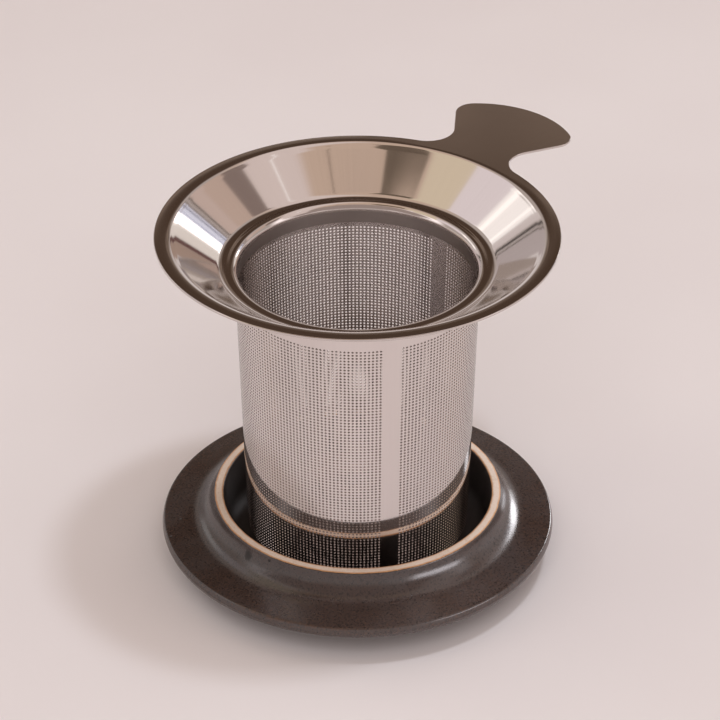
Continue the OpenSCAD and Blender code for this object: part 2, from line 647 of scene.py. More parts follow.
def read(items: bpy.types.bpy_prop_collection, name: str, width: int) -> np.ndarray:
    """Reads one property of a mesh's vertices, faces or corners.

    Args:
        items: the vertices, faces or corners.
        name: the property.
        width: how many numbers it has for each of them.

    Returns:
        The numbers, one row for each.
    """
    values = np.zeros(len(items) * width)
    items.foreach_get(name, values)
    return values.reshape(-1, width)


@dataclass(frozen=True)
class Glaze:
    """A dark iron glaze, satin, that breaks to rust where it runs thin over an edge."""

    brown: Colour = (0.052, 0.032, 0.026)
    grey: Colour = (0.058, 0.045, 0.043)
    rust: Colour = (0.110, 0.052, 0.028)
    # Near black: for dark flecks, for the pits and for the painted shade in the well.
    near_black_and_well_shade: Colour = (0.010, 0.007, 0.006)
    clay: Colour = (0.900, 0.765, 0.640)
    clay_fleck: Colour = (0.520, 0.350, 0.240)
    toasted: Colour = (0.620, 0.310, 0.120)
    cloud_size: float = 14 * MM
    mottle_size: float = 1.6 * MM
    grit_size: float = 0.35 * MM
    fleck_size: float = 0.55 * MM
    worn_size: float = 1.3 * MM
    worn_side_deg: float = 198.0
    orange_peel: float = 0.012 * MM
    peel_size: float = 1.1 * MM
    swell_size: float = 6 * MM
    wheel_size: float = 1.8 * MM
    clay_depth: float = 0.08 * MM
    grit_height: float = 0.05 * MM
    pit_depth: float = 0.05 * MM
    pit_darkening: float = 0.85
    # How far the well's glaze is painted darker, as painted shade in the recess.
    well_painted_shade: float = 0.75
    well_edge: float = 0.4 * MM
    smoothest: float = 0.12
    dull: float = 0.45
    ior: float = 1.70
    toast_w: float = 0.65 * MM
    line_size: float = 2.6 * MM
    line_sway: float = 0.55 * MM
    stain_size: float = 3.5 * MM

    def material(self, lid: "StonewareLid") -> bpy.types.Material:
        """Builds the finish of the whole lid, glaze and bare clay.

        Args:
            lid: the lid, whose sizes place the clay ring and the edges.

        Returns:
            The material.
        """
        g = Finish("iron_glaze")
        place = g.place
        x, y, z = g.separate(place)
        r = g.off_axis(x, y)
        cloud = g.noise(place, self.cloud_size, 3.0, 0.6, 0.4)
        mottle = g.noise(place, self.mottle_size, 4.0, 0.65)
        grit = g.noise(place, self.grit_size, 3.0, 0.7)
        pitted = self.pitting(g, lid, place, mottle)
        glaze = self.glaze_colour(g, lid, place, r, z, cloud, mottle)
        # The pits are made darker, towards near black.
        glaze = g.mix(g.product(pitted, self.pit_darkening), glaze, self.near_black_and_well_shade)
        clay, bare = self.clay_colour(g, lid, place, r, z, grit)
        well = self.in_well(g, lid, r, 1.0)
        rough = g.total(self.smoothest, g.ramp(cloud, 0.30, 0.70, 0.0, 0.06), g.product(mottle, 0.12),
                        *(g.product(part, self.dull) for part in (bare, well, pitted)))
        # The wheel's marks run round: they change with the distance from the axis and hardly along it.
        wheel = g.noise(g.combine(r, g.product(x, 0.01), g.product(y, 0.01)), self.wheel_size, 1.0)
        bump = g.total(g.product(g.noise(place, self.peel_size, 2.0), self.orange_peel),
                       g.product(g.noise(place, self.swell_size, 1.0), 4 * self.orange_peel),
                       g.product(wheel, self.orange_peel), g.product(grit, 0.35 * self.orange_peel),
                       g.product(bare, -self.clay_depth), g.product(grit, bare, self.grit_height),
                       g.product(pitted, -self.pit_depth))
        return g.done({"Base Color": g.mix(bare, glaze, clay), "Roughness": rough, "Normal": g.bump(bump),
                       "IOR": self.ior})

    def in_well(self, g: Graph, lid: "StonewareLid", r: Socket, strength: float) -> Socket:
        """The given strength inside the well and 0 outside it."""
        return g.ramp(r, lid.well_r - self.well_edge, lid.well_r + self.well_edge, strength, 0.0)

    def glaze_colour(self, g: Graph, lid: "StonewareLid", place: Socket, r: Socket, z: Socket,
                     cloud: Socket, mottle: Socket) -> Socket:
        """The glaze's colour: clouded brown and grey, with rust flecks, a worn arris, darker pits and
        painted shade in the well.

        Args:
            g: the material's graph.
            lid: the lid.
            place: the point on the lid.
            r: its distance from the axis.
            z: its height.
            cloud: broad noise.
            mottle: fine noise.

        Returns:
            The colour.
        """
        glaze = g.mix(g.ramp(cloud, 0.30, 0.75), self.brown, self.grey)
        glaze = g.mix(g.ramp(mottle, 0.45, 0.70, 0.0, 0.60), glaze, self.brown)
        fleck = g.noise(place, self.fleck_size, 2.0, 0.6)
        outward = g.ramp(r, lid.clay_r, lid.flange_r, 0.3, 1.0)
        glaze = g.mix(g.product(g.ramp(fleck, 0.54, 0.68), outward, 0.45), glaze, self.rust)
        glaze = g.mix(g.ramp(fleck, 0.36, 0.46, 0.65, 0.0), glaze, self.near_black_and_well_shade)
        arris = g.product(g.ramp(r, lid.flange_r - 1.3 * MM, lid.flange_r - 0.5 * MM),
                          g.ramp(z, lid.edge_z - 0.8 * MM, lid.edge_z - 0.4 * MM))
        side = math.radians(self.worn_side_deg)
        toward = g.math("DIVIDE", g.dot(place, (math.cos(side), math.sin(side), 0.0)), r)
        worn = g.total(g.noise(place, self.worn_size, 4.0, 0.7), g.ramp(toward, 0.86, 0.98, 0.0, 0.12))
        glaze = g.mix(g.product(arris, g.ramp(worn, 0.56, 0.70, 0.0, 0.45)), glaze, self.rust)
        # Painted shade: the glaze in the well is made darker, as the shade in the recess.
        return g.mix(self.in_well(g, lid, r, self.well_painted_shade), glaze, self.near_black_and_well_shade)

    def pitting(self, g: Graph, lid: "StonewareLid", place: Socket, mottle: Socket) -> Socket:
        """Where the glaze is pitted.

        Args:
            g: the material's graph.
            lid: the lid, which lists its pits.
            place: the point on the lid.
            mottle: fine noise, which frays the pits.

        Returns:
            1 in a pit and 0 off it.
        """
        pitted: Value = 0.0
        for pit in lid.pits:
            inputs = {0: place, 1: pit.place}
            away = g.add("ShaderNodeVectorMath", inputs, operation="DISTANCE").outputs["Value"]
            edge = g.total(away, g.product(g.math("SUBTRACT", mottle, 0.5), pit.radius))
            pitted = g.math("MAXIMUM", pitted, g.ramp(edge, pit.radius * 0.3, pit.radius, 1.0, 0.0))
        return pitted

    def clay_colour(self, g: Graph, lid: "StonewareLid", place: Socket, r: Socket, z: Socket,
                    grit: Socket) -> tuple[Socket, Socket]:
        """The ring that the lid was fired on, wiped bare of glaze and toasted along both of its edges.

        Args:
            g: the material's graph.
            lid: the lid.
            place: the point on the lid.
            r: its distance from the axis.
            z: its height.
            grit: noise as fine as the clay's grains.

        Returns:
            The clay's colour, and 1 where the clay is bare.
        """
        middle = lid.clay_r - lid.clay_w / 2
        out = g.math("ABSOLUTE", g.math("SUBTRACT", r, middle))
        drop = g.math("SUBTRACT", lid.height, z)
        sway = g.math("SUBTRACT", g.noise(place, self.line_size, 4.0, 0.65), 0.5)
        line = g.product(sway, self.line_sway)
        inset = g.math("SUBTRACT", g.total(lid.clay_w / 2 - 0.02 * MM, line), g.total(out, drop))
        bare = g.ramp(inset, -0.04 * MM, 0.04 * MM)
        clay = g.mix(g.ramp(grit, 0.52, 0.72, 0.0, 0.4), self.clay, self.clay_fleck)
        stain = g.ramp(g.noise(place, self.stain_size, 3.0, 0.6), 0.60, 0.75, 0.0, 0.5)
        clay = g.mix(stain, clay, self.clay_fleck)
        return g.mix(g.ramp(inset, 0.25 * self.toast_w, self.toast_w), self.toasted, clay), bare


@dataclass(frozen=True)
class Steel:
    """Polished stainless steel, with faint marks of the wheel and a slight waviness in its reflections."""

    name: str
    grain: Grain
    colour: Colour = (0.680, 0.625, 0.600)
    # Dark brown for painted shade: inside the holes and on the funnel's neck.
    painted_shade_tint: Colour = (0.200, 0.170, 0.155)
    roughness: float = 0.05
    satin: float = 0.24
    satin_painted_shade: float = 0.35
    inside_rough: float = 0.12
    cut_rough: float = 0.35
    wave_depth: float = 0.004 * MM
    wave_size: float = 9 * MM
    mark_size: float = 0.45 * MM
    mark_depth: float = 0.00035 * MM
    mark_ring: float = 30 * MM
    smear_size: float = 12 * MM
    uneven_rough: float = 0.03

    def material(self, satin_where: Callable[[Graph, Socket, Socket], Value] | None = None,
                 crown: Callable[[Graph, Socket, Socket], Value] | None = None) -> bpy.types.Material:
        """Builds the finish.

        Args:
            satin_where: gives how satin the steel is, from the distance to the axis and the height.
            crown: gives a slight swell of the surface, from the distance to the axis and the place
                along X.

        Returns:
            The material.
        """
        g = Finish(self.name)
        place = g.place
        x, y, z = g.separate(place)
        r = g.off_axis(x, y)
        away = g.math("MAXIMUM", r, MM)
        along_x = g.math("DIVIDE", x, away)
        along_y = g.math("DIVIDE", y, away)
        if self.grain is Grain.AROUND:
            marks_at = g.combine(r, z, g.product(g.math("ARCTAN2", y, x), 0.5 * MM))
        else:
            marks_at = g.combine(g.product(along_x, self.mark_ring), g.product(along_y, self.mark_ring),
                                 g.product(z, 0.02))
        marks = g.noise(marks_at, self.mark_size, 3.0, 0.7)
        smear = g.noise(place, self.smear_size, 3.0, 0.6, 0.5)
        satin = satin_where(g, r, z) if satin_where else 0.0
        rough = g.total(self.roughness, g.product(satin, self.satin),
                        g.product(marks, self.uneven_rough), g.product(smear, self.uneven_rough))
        darker = tuple(0.8 * c for c in self.colour)
        tone = g.mix(g.ramp(marks, 0.3, 0.7, 0.0, 0.10), self.colour, darker)
        # Painted shade: the satin parts are tinted darker, the neck inside the mouth most and the rim
        # faintly.
        tone = g.mix(g.product(satin, self.satin_painted_shade), tone, self.painted_shade_tint)
        if self.grain is Grain.UPRIGHT:
            # The etched sides of the holes are dull, and painted dark as painted shade inside the holes.
            # Their normals don't point out from the axis.
            normal = g.add("ShaderNodeNewGeometry").outputs["Normal"]
            outward = g.dot(normal, g.combine(along_x, along_y))
            up = g.math("ABSOLUTE", g.separate(normal)[2])
            cut = g.ramp(g.math("MAXIMUM", g.math("ABSOLUTE", outward), up), 0.75, 0.96, 1.0, 0.0)
            tone = g.mix(cut, tone, self.painted_shade_tint)
            inside = g.ramp(outward, -0.8, -0.3, self.inside_rough, 0.0)
            rough = g.total(rough, g.product(cut, self.cut_rough), inside)
        wave = g.product(g.noise(place, self.wave_size, 1.0), self.wave_depth)
        height = g.total(wave, g.product(marks, self.mark_depth))
        if crown:
            height = g.total(height, crown(g, r, x))
        return g.done({"Base Color": tone, "Metallic": 1.0, "Roughness": rough, "Normal": g.bump(height)})


@dataclass(frozen=True)
class Pit:
    """A small pit in the glaze, darker than the glaze round it."""

    azimuth_deg: float
    r: float
    z: float
    radius: float

    @property
    def place(self) -> Colour:
        """Where the pit is."""
        a = math.radians(self.azimuth_deg)
        return (self.r * math.cos(a), self.r * math.sin(a), self.z)


@dataclass
class StonewareLid:
    """The upturned lid: well, bare clay ring, cove, flange and base, thrown and glazed in one piece."""

    height: float
    flange_r: float
    floor_t: float = 5.0 * MM
    flange_t: float = 2.8 * MM
    clay_r: float = 36.0 * MM
    clay_w: float = 2.4 * MM
    collar_rise: float = 5.8 * MM
    cove_r: float = 6.2 * MM
    flange_fall: float = 1.1 * MM
    well_draft: float = 1.2 * MM
    well_fillet: float = 3.0 * MM
    base_r: float = 34.6 * MM
    edge_round: float = 0.5 * MM
    band_bulge: float = 0.4 * MM
    band_round: float = 0.42  # as a share of flange_t
    bulge_round: float = 0.8 * MM
    flank_run: float = 1.0 * MM
    under_slope: float = 1.7 * MM
    bowl_flare: float = 3.6 * MM
    under_cove: float = 4.0 * MM
    base_round: float = 2.5 * MM
    segments: int = 384
    stride: float = 0.7 * MM
    unevenness: float = 0.003
    unevenness_size: float = 40 * MM
    seed: int = 7
    pits: tuple[Pit, ...] = (
        Pit(169.0, 36.7 * MM, 14.3 * MM, 1.8 * MM),
        Pit(179.5, 36.2 * MM, 15.7 * MM, 0.45 * MM),
        Pit(139.5, 47.9 * MM, 10.2 * MM, 0.45 * MM),
        Pit(131.5, 44.7 * MM, 10.5 * MM, 0.35 * MM),
        Pit(256.5, 36.4 * MM, 14.9 * MM, 0.35 * MM),
    )

    @property
    def edge_z(self) -> float:
        """Height of the flange's upper edge."""
        return self.height - self.collar_rise - self.flange_fall

    @property
    def well_r(self) -> float:
        """Radius of the well's mouth, inside the clay ring."""
        return self.clay_r - self.clay_w

    def section(self) -> Section:
        """The section, from the middle of the base round to the middle of the well.

        Returns:
            The closed section.
        """
        under_z = self.edge_z - self.flange_t
        return Section.of([
            Corner(0, 0),
            Corner(self.base_r, 0, self.base_round),
            Corner(self.base_r + self.bowl_flare, under_z - self.under_slope, self.under_cove),
            Corner(self.flange_r - self.band_bulge, under_z, self.band_round * self.flange_t),
            Corner(self.flange_r, (self.edge_z + under_z) / 2, self.bulge_round),
            Corner(self.flange_r - self.band_bulge, self.edge_z, self.edge_round),
            Corner(self.clay_r + self.flank_run, self.height - self.collar_rise, self.cove_r),
            Corner(self.clay_r, self.height, self.edge_round),
            Corner(self.well_r, self.height, self.edge_round),
            Corner(self.well_r - self.well_draft, self.floor_t, self.well_fillet),
            Corner(0, self.floor_t),
        ], stride=self.stride)

    def build(self, tree: bpy.types.NodeTree, glaze: Glaze) -> bpy.types.Object:
        """Turns the lid and dresses it.

        Args:
            tree: the tree that turns a section.
            glaze: the glaze.

        Returns:
            The lid.
        """
        values = {"Segments": self.segments, "Unevenness": self.unevenness, "Seed": self.seed,
                  "Unevenness Size": self.unevenness_size, "Finish": glaze.material(self)}
        mesh = grown("stoneware_lid", tree, values, self.section().mesh("lid_section"))
        smooth(mesh)
        return piece(mesh, Body.LID, ["lid"])


@dataclass(frozen=True)
class Arc:
    """An arc of the tab's outline, which is hollow where its end is less than its start."""

    centre: tuple[float, float]
    radius: float
    start: float
    end: float

    def sampled(self, stride: float) -> tuple[np.ndarray, np.ndarray]:
        """Places points along the arc.

        Args:
            stride: the longest distance between them.

        Returns:
            The points, and the outline's outward normals there.
        """
        steps = max(2, math.ceil(abs(self.end - self.start) * self.radius / stride))
        angles = np.linspace(self.start, self.end, steps + 1)
        spokes = np.stack([np.cos(angles), np.sin(angles)], 1)
        outward = 1.0 if self.end > self.start else -1.0
        return np.array(self.centre) + self.radius * spokes, spokes * outward


@dataclass
class Funnel:
    """The funnel, pressed from one sheet: flat rim with its thumb tab, cone, ledge and neck."""

    rim_z: float
    tab_end: float
    rim_r: float = 48.4 * MM
    rim_w: float = 3.5 * MM
    sheet_t: float = 0.6 * MM
    cone_drop: float = 9.0 * MM
    ledge_r: float = 32.6 * MM
    mouth_r: float = 28.5 * MM
    neck_h: float = 4.8 * MM
    bend_r: float = 2.6 * MM
    foot_bend_r: float = 3.6 * MM
    mouth_bend_r: float = 2.0 * MM
    ledge_rise: float = 0.45 * MM
    edge_r: float = 0.22 * MM
    edge_steps: int = 4
    rim_satin: float = 0.12
    flat_from: float = 46.2 * MM
    crown_r: float = 46.7 * MM
    crown_bend: float = 60.0
    tab_neck_w: float = 19.4 * MM
    tab_fillet: float = 6.8 * MM
    grip_r: float = 24.0 * MM
    grip_corner: float = 5.0 * MM
    grip_w: float = 33.0 * MM
    outline_stride: float = 0.8 * MM
    same_corner: float = 0.0001 * MM
    segments: int = 288

    @property
    def ledge_z(self) -> float:
        """Height of the ledge's upper face."""
        return self.rim_z - self.cone_drop

    def section(self) -> Section:
        """The section from the rim's flat down to the neck's foot and back under the sheet.

        Returns:
            The section, whose two ends lie under each other in the flat.
        """
        foot_z = self.ledge_z - self.neck_h
        face = [
            Corner(self.flat_from, self.rim_z),
            Corner(self.rim_r - self.rim_w, self.rim_z, self.bend_r),
            Corner(self.ledge_r, self.ledge_z, self.foot_bend_r),
            Corner(self.mouth_r, self.ledge_z + self.ledge_rise, self.mouth_bend_r),
            Corner(self.mouth_r, foot_z, self.edge_r),
        ]
        under = shifted(face, self.sheet_t)[::-1]
        under[0] = Corner(self.mouth_r + self.sheet_t, foot_z, self.edge_r)
        return Section.of(face + under, step_deg=6.0)

    def outline(self) -> tuple[np.ndarray, np.ndarray]:
        """Draws the outline of rim and tab as seen from above, counterclockwise.

        Returns:
            Its points and its outward normals.
        """
        arc_x = self.tab_end - self.grip_r
        corner_y = self.grip_w / 2 - self.grip_corner
        corner_x = arc_x + math.sqrt((self.grip_r - self.grip_corner) ** 2 - corner_y ** 2)
        fillet_y = self.tab_neck_w / 2 + self.tab_fillet
        fillet_x = math.sqrt((self.rim_r + self.tab_fillet) ** 2 - fillet_y ** 2)
        span = (fillet_x - corner_x, fillet_y - corner_y)
        reach = (self.grip_corner + self.tab_fillet) / math.hypot(*span)
        lean = math.atan2(span[1], span[0]) - math.acos(reach)
        far = math.atan2(corner_y, corner_x - arc_x)
        waist = math.atan2(fillet_y, fillet_x)
        arcs = [
            Arc((arc_x, 0), self.grip_r, -far, far),
            Arc((corner_x, corner_y), self.grip_corner, far, lean),
            Arc((fillet_x, fillet_y), self.tab_fillet, lean + math.pi, waist + math.pi),
            Arc((0, 0), self.rim_r, waist, FULL_TURN - waist),
            Arc((fillet_x, -fillet_y), self.tab_fillet, math.pi - waist, math.pi - lean),
            Arc((corner_x, -corner_y), self.grip_corner, -lean, -far),
        ]
        points, normals = [], []
        for arc in arcs:
            p, n = arc.sampled(self.outline_stride)
            repeats = int(bool(points) and np.linalg.norm(points[-1][-1] - p[0]) < self.same_corner)
            points.append(p[repeats:])
            normals.append(n[repeats:])
        return np.concatenate(points)[:-1], np.concatenate(normals)[:-1]

    def edge_rows(self) -> list[tuple[float, float, float]]:
        """Rounds the sheet's edge from its upper to its lower face.

        Returns:
            For each row its inset, its height and the slope of its normal.
        """
        rows = []
        for angle in np.linspace(math.pi / 2, 0, self.edge_steps + 1):
            inset = self.edge_r * (1 - math.cos(angle))
            rows.append((inset, self.rim_z - self.edge_r * (1 - math.sin(angle)), angle))
        low = self.rim_z - self.sheet_t
        return rows + [(inset, low + self.rim_z - z, -angle) for inset, z, angle in rows[::-1]]

    def build(self, steel: Steel) -> bpy.types.Object:
        """Builds the funnel as one closed sheet and dresses it.

        Args:
            steel: the finish.

        Returns:
            The funnel.
        """
        section = self.section()
        rows = len(section.points)
        angles = np.arange(self.segments) * FULL_TURN / self.segments
        spokes = np.stack([np.cos(angles), np.sin(angles)], 1)
        points = [level(r * spokes, z) for r, z in section.points]
        normals = [level(n * spokes, m) for n, m in section.normals]
        faces = [quad for row in range(rows - 1) for quad in band(row * self.segments, self.segments)]
        outline, outward = self.outline()
        count = len(outline)
        first = rows * self.segments
        for inset, z, slope in self.edge_rows():
            points.append(level(outline - outward * inset, z))
            normals.append(level(outward * math.cos(slope), math.sin(slope)))
        last = first + (len(self.edge_rows()) - 1) * count
        faces += [quad[::-1] for start in range(first, last, count) for quad in band(start, count)]
        faces += flat_ring(points[rows], first, points[0], 0, up=True)
        faces += flat_ring(points[-1], last, points[rows - 1], first - self.segments, up=False)
        mesh = bpy.data.meshes.new("steel_funnel")
        mesh.from_pydata(np.concatenate(points).tolist(), [], faces)
        smooth(mesh)
        mesh.normals_split_custom_set_from_vertices(np.concatenate(normals).tolist())
        mesh.materials.append(steel.material(self.satin_where, self.crown))
        return piece(mesh, Body.INFUSER, ["funnel"])

    def satin_where(self, g: Graph, r: Socket, z: Socket) -> Socket:
        """The rim, the tab and the neck are rougher than the cone and tinted darker with painted shade.

        Args:
            g: the material's graph.
            r: the distance from the axis.
            z: the height.

        Returns:
            0 on the cone, up to 1 on the neck.
        """
        rim = g.ramp(r, self.rim_r - self.rim_w + 0.2 * MM, self.rim_r - self.rim_w + 0.6 * MM)
        neck = g.ramp(z, self.ledge_z - 1.6 * MM, self.ledge_z - 0.8 * MM, 1.0, 0.0)
        return g.math("MAXIMUM", g.product(rim, self.rim_satin), neck)

    def crown(self, g: Graph, r: Socket, x: Socket) -> Socket:
        """The pressed rim swells slightly across its width, up to where the tab runs out of it.

        Args:
            g: the material's graph.
            r: the distance from the axis.
            x: the place along the tab's axis.

        Returns:
            The height of the swell, at most 0 on its top line.
        """
        off = g.math("SUBTRACT", g.math("MINIMUM", r, self.rim_r), self.crown_r)
        fall = g.product(off, off, -self.crown_bend / 2)
        on_rim = g.ramp(r, self.crown_r - 3.4 * MM, self.crown_r - 1.2 * MM)
        return g.product(fall, on_rim, g.ramp(x, 0.78 * self.rim_r, 0.92 * self.rim_r, 1.0, 0.0))


def level(flat: np.ndarray, z: float) -> np.ndarray:
    """A row of flat places or directions, all with the same third part."""
    return np.column_stack([flat, np.full(len(flat), z)])


def band(first: int, count: int) -> list[tuple[int, int, int, int]]:
    """Quads between one closed row of points and the next row after it."""
    return [(first + i, first + (i + 1) % count, first + count + (i + 1) % count, first + count + i)
            for i in range(count)]


def flat_ring(outer: np.ndarray, outer_first: int, inner: np.ndarray, inner_first: int,
              up: bool) -> list[list[int]]:
    """Triangles of the flat area between two closed rows of points.

    Args:
        outer: the outer row's points.
        outer_first: the number of its first point in the mesh.
        inner: the inner row's points.
        inner_first: the number of its first point.
        up: whether the area faces up.

    Returns:
        The triangles.
    """
    both = np.concatenate([outer, inner])
    number = [outer_first + i for i in range(len(outer))] + [inner_first + i for i in range(len(inner))]
    loops = [[Vector((p[0], p[1], 0)) for p in row] for row in (outer, inner)]
    triangles = []
    for tri in tessellate_polygon(loops):
        a, b, c = (both[i] for i in tri)
        area = (b[0] - a[0]) * (c[1] - a[1]) - (b[1] - a[1]) * (c[0] - a[0])
        tri = tri if (area > 0) == up else tri[::-1]
        triangles.append([number[i] for i in tri])
    return triangles


@dataclass
class Basket:
    """The basket: a perforated wall, rolled and seam-welded, and a shallow perforated cup as its floor."""

    foot_z: float
    top_z: float
    foot_r: float = 27.34 * MM
    top_r: float = 29.20 * MM
    sheet_t: float = 0.25 * MM
    pitches_round: int = 194
    panels: int = 3
    panel_columns: int = 60
    rows: int = 79
    row_pitch: float = 0.84 * MM
    first_row_z: float = 75.65 * MM
    hole_d: float = 0.57 * MM
    hole_sides: int = 8
    margin_steps: int = 3
    merge_gap: float = 0.004 * MM
    seam_deg: float = -8.0
    bead_step: float = 0.5 * MM
    bead_end: float = 0.4 * MM
    bead_w: float = 0.7 * MM
    bead_h: float = 0.06 * MM
    bead_seed: int = 3
    weld_gap: float = 0.02 * MM
    floor_t: float = 0.5 * MM
    floor_lip: float = 3.0 * MM
    floor_bend: float = 1.0 * MM
    lip_round: float = 0.15 * MM
    floor_border: float = 2.2 * MM
    floor_segments: int = 192

    @property
    def slope(self) -> float:
        """How much the wall's radius grows for each unit of height."""
        return (self.top_r - self.foot_r) / (self.top_z - self.foot_z)

    def wall_normal(self, points: np.ndarray) -> np.ndarray:
        """The outward normals of the wall's cone at an array of points."""
        around = points[:, :2] / np.linalg.norm(points[:, :2], axis=1, keepdims=True)
        return level(around, -self.slope) / math.hypot(1, self.slope)

    def floor_normal(self, points: np.ndarray) -> np.ndarray:
        """The upward normals of the floor at an array of points."""
        return np.tile((0.0, 0.0, 1.0), (len(points), 1))

    def panel_tree(self) -> bpy.types.NodeTree:
        """The tree that makes one perforated panel of the wall.

        The panel is made flat, a cell round each hole and a plain border round all the cells, then it is
        given its thickness and rolled to the wall's cone.

        Returns:
            The tree.
        """
        g = GeometryGraph("perforated_panel", ["Columns", "Rows", "Border Steps"], [
            "Column Pitch", "Row Pitch", "Hole Diameter", "Sheet Thickness", "Side Border", "Top Border",
            "Foot Border", "Foot Radius", "Slope", "Foot Height", "Roll Radius", "Middle Angle"])
        i = g.inputs
        wide = g.product(i["Columns"], i["Column Pitch"])
        high = g.product(i["Rows"], i["Row Pitch"])
        cell = g.cell(i["Column Pitch"], i["Row Pitch"], i["Hole Diameter"], self.hole_sides)
        spots = g.grid(g.math("SUBTRACT", wide, i["Column Pitch"]),
                       g.math("SUBTRACT", high, i["Row Pitch"]), i["Columns"], i["Rows"])
        cells = g.repeated(cell, spots)
        # The border starts as one grid of unit squares, without those inside the cells' area.
        half_x = g.product(i["Columns"], 0.5)
        half_y = g.product(i["Rows"], 0.5)
        steps = i["Border Steps"]
        all_x, all_y = (g.math("MULTIPLY_ADD", steps, 2.0, i[name]) for name in ("Columns", "Rows"))
        border = g.grid(all_x, all_y, g.math("ADD", all_x, 1.0), g.math("ADD", all_y, 1.0))
        x, y, _ = g.separate(g.position())
        inside = g.product(g.math("LESS_THAN", g.math("ABSOLUTE", x), half_x),
                           g.math("LESS_THAN", g.math("ABSOLUTE", y), half_y))
        border = g.without_faces(border, inside)
        in_x, in_y = (g.math("MINIMUM", g.math("MAXIMUM", v, g.product(half, -1.0)), half)
                      for v, half in ((x, half_x), (y, half_y)))
        over_x = g.math("SUBTRACT", x, in_x)
        over_y = g.math("SUBTRACT", y, in_y)
        top = g.product(g.math("MAXIMUM", over_y, 0.0), i["Top Border"])
        foot = g.product(g.math("MINIMUM", over_y, 0.0), i["Foot Border"])
        flat_x = g.total(g.product(in_x, i["Column Pitch"]),
                         g.math("DIVIDE", g.product(over_x, i["Side Border"]), steps))
        flat_y = g.total(g.product(in_y, i["Row Pitch"]), g.math("DIVIDE", g.total(top, foot), steps))
        border = g.place(border, g.combine(flat_x, flat_y))
        sheet = g.welded(g.join(cells, border), self.merge_gap)
        solid = g.thickened(sheet, i["Sheet Thickness"], self.merge_gap)
        u, v, w = g.separate(g.position())
        rise = g.total(v, g.product(high, 0.5), i["Foot Border"])
        radius = g.total(i["Foot Radius"], g.product(rise, i["Slope"]), w)
        angle = g.total(g.math("DIVIDE", u, i["Roll Radius"]), i["Middle Angle"])
        rolled = g.combine(g.product(radius, g.math("COSINE", angle)),
                           g.product(radius, g.math("SINE", angle)), g.total(rise, i["Foot Height"]))
        return g.finish(g.place(solid, rolled))

    def disc_tree(self) -> bpy.types.NodeTree:
        """The tree that makes the floor's perforated disc.

        Returns:
            The tree.
        """
        g = GeometryGraph("perforated_disc", ["Segments", "Across"], [
            "Disc Radius", "Border", "Pitch", "Hole Diameter", "Sheet Thickness", "Height"])
        i = g.inputs
        side = g.product(i["Across"], i["Pitch"])
        points = g.math("ADD", i["Across"], 1.0)
        squares = g.grid(side, side, points, points)
        out = g.add("ShaderNodeVectorMath", {0: g.position()}, operation="LENGTH").outputs["Value"]
        beyond = g.math("GREATER_THAN", out, g.math("SUBTRACT", i["Disc Radius"], i["Border"]))
        squares = g.without_faces(squares, beyond)
        cell = g.cell(i["Pitch"], i["Pitch"], i["Hole Diameter"], self.hole_sides)
        spots = g.add("GeometryNodeMeshToPoints", {"Mesh": squares}, mode="FACES").outputs[0]
        cells = g.repeated(cell, spots)
        # The plain border runs from the rim to the stepped edge of the cells, whose edges have one face.
        faces = g.add("GeometryNodeInputMeshEdgeNeighbors").outputs[0]
        single = g.math("LESS_THAN", faces, 1.5)
        steps = g.add("GeometryNodeMeshToCurve", {"Mesh": squares, "Selection": single}).outputs[0]
        border = g.filled(g.circle(i["Segments"], i["Disc Radius"]), steps)
        sheet = g.welded(g.join(cells, border), self.merge_gap)
        solid = g.thickened(sheet, i["Sheet Thickness"], self.merge_gap / 2)
        x, y, z = g.separate(g.position())
        return g.finish(g.place(solid, g.combine(x, y, g.total(z, i["Height"]))))

    def bead_tree(self) -> bpy.types.NodeTree:
        """The tree that lays the weld's overlapping spots up the seam.

        Returns:
            The tree.
        """
        g = GeometryGraph("weld_bead", ["Spots", "Seed"], [
            "Spacing", "Width", "Depth", "Foot Radius", "Slope", "Foot Height", "Angle"])
        i = g.inputs
        line = g.add("GeometryNodeMeshLine", {"Count": i["Spots"], "Offset": g.combine(z=i["Spacing"])},
                     mode="OFFSET").outputs[0]
        ball = {"Segments": 12, "Rings": 8, "Radius": 0.5}
        spot = g.add("GeometryNodeMeshUVSphere", ball).outputs["Mesh"]
        copies = g.add("GeometryNodeInstanceOnPoints", {"Points": line, "Instance": spot})
        random = g.add("FunctionNodeRandomValue", {2: 0.8, 3: 1.1, "Seed": i["Seed"]},
                       data_type="FLOAT").outputs[1]
        size = g.combine(i["Depth"], g.product(i["Width"], random), g.product(i["Spacing"], 1.5))
        g.fill(copies, {"Scale": size})
        real = g.add("GeometryNodeRealizeInstances", {"Geometry": copies.outputs[0]}).outputs[0]
        x, y, z = g.separate(g.position())
        radius = g.total(i["Foot Radius"], g.product(z, i["Slope"]), x)
        c = g.math("COSINE", i["Angle"])
        s = g.math("SINE", i["Angle"])
        across = g.math("SUBTRACT", g.product(radius, c), g.product(y, s))
        along = g.math("ADD", g.product(radius, s), g.product(y, c))
        return g.finish(g.place(real, g.combine(across, along, g.total(z, i["Foot Height"]))))

